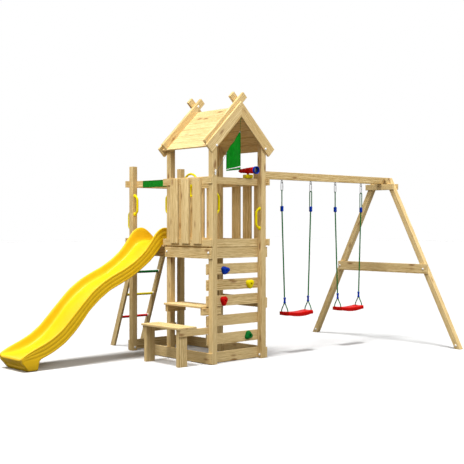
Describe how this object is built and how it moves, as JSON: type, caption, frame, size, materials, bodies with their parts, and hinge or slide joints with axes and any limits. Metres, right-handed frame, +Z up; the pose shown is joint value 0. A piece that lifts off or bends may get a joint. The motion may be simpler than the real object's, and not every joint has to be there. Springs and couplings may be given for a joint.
{
  "type": "play tower with slide and swing",
  "caption": "Timber play tower with a pitched roof, wavy slide, ladder, climbing boards, bench and table, and a trestle beam with hanging swings.",
  "frame": {"origin": "centre of the bounding box on the ground", "axes": "+X from the slide's foot along the front towards the swings, +Y from the climbing boards towards the ladder, +Z up"},
  "size_m": [5.107, 3.2566, 3.0524],
  "materials": {
    "pine": "planed, untreated",
    "yellow_plastic": "moulded",
    "red_plastic": "moulded",
    "blue_plastic": "moulded",
    "green_plastic": "moulded",
    "green_rope": "braided",
    "green_cloth": "woven"
  },
  "bodies": {
    "tower": {"base_board_front": "pine", "base_board_left": "pine", "base_board_rear": "pine", "base_board_right": "pine", "bench": "pine", "climbing_board_1": "pine", "climbing_board_2": "pine", "climbing_board_3": "pine", "climbing_board_4": "pine", "climbing_board_5": "pine", "cloth_strip": "green_cloth", "deck": "pine", "deck_edge_front": "pine", "deck_edge_left": "pine", "deck_edge_rear": "pine", "deck_edge_right": "pine", "flag": "green_cloth", "handle_front_left": "yellow_plastic", "handle_front_right": "yellow_plastic", "handle_ladder_left": "yellow_plastic", "handle_slide_left": "yellow_plastic", "handle_slide_right": "yellow_plastic", "hold_blue": "blue_plastic", "hold_green": "green_plastic", "hold_red": "red_plastic", "hold_yellow": "yellow_plastic", "ladder_stringer_left": "pine", "ladder_stringer_right": "pine", "post_front_left": "pine", "post_front_right": "pine", "post_middle_left": "pine", "post_middle_right": "pine", "post_rear_left": "pine", "post_rear_right": "pine", "rafters_front": "pine", "rafters_rear": "pine", "roof_slope_left": "pine", "roof_slope_right": "pine", "rung_high": "green_plastic", "rung_low": "red_plastic", "rung_middle": "yellow_plastic", "side_board_right": "pine", "slat_panel_left": "pine", "slat_panel_rear": "pine", "slat_panel_right": "pine", "slide": "yellow_plastic", "swing_beam": "pine", "table": "pine", "top_rail_front": "pine", "top_rail_slide": "pine", "trestle": "pine"},
    "swing_near": {"swing_near_seat": "red_plastic", "swing_near_rope_left": "green_rope", "swing_near_rope_right": "green_rope"},
    "swing_far": {"swing_far_seat": "red_plastic", "swing_far_rope_left": "green_rope", "swing_far_rope_right": "green_rope"},
    "wheel": {"steering_wheel": "yellow_plastic"},
    "telescope_mount": {"telescope_base": "yellow_plastic"},
    "telescope_tube": {"telescope": "red_plastic"}
  },
  "joints": [
    {"name": "swing_near_hinge", "type": "hinge", "parent": "tower", "child": "swing_near", "pos_m": [0.7335, -0.39045, 2.06], "axis": [1, 0, 0], "range_deg": [-50, 50]},
    {"name": "swing_far_hinge", "type": "hinge", "parent": "tower", "child": "swing_far", "pos_m": [1.6935, -0.39045, 2.06], "axis": [1, 0, 0], "range_deg": [-50, 50]},
    {"name": "wheel_spin", "type": "hinge", "parent": "tower", "child": "wheel", "pos_m": [0.0485, 0.80455, 2.047], "axis": [1, 0, 0], "continuous": true},
    {"name": "telescope_pan", "type": "hinge", "parent": "tower", "child": "telescope_mount", "pos_m": [-0.0985, -0.41445, 2.0833], "axis": [0, 0, 1], "range_deg": [-25, 25]},
    {"name": "telescope_tilt", "type": "hinge", "parent": "telescope_mount", "child": "telescope_tube", "pos_m": [-0.0985, -0.41445, 2.108], "axis": [1, 0, 0], "range_deg": [-20, 20]}
  ]
}
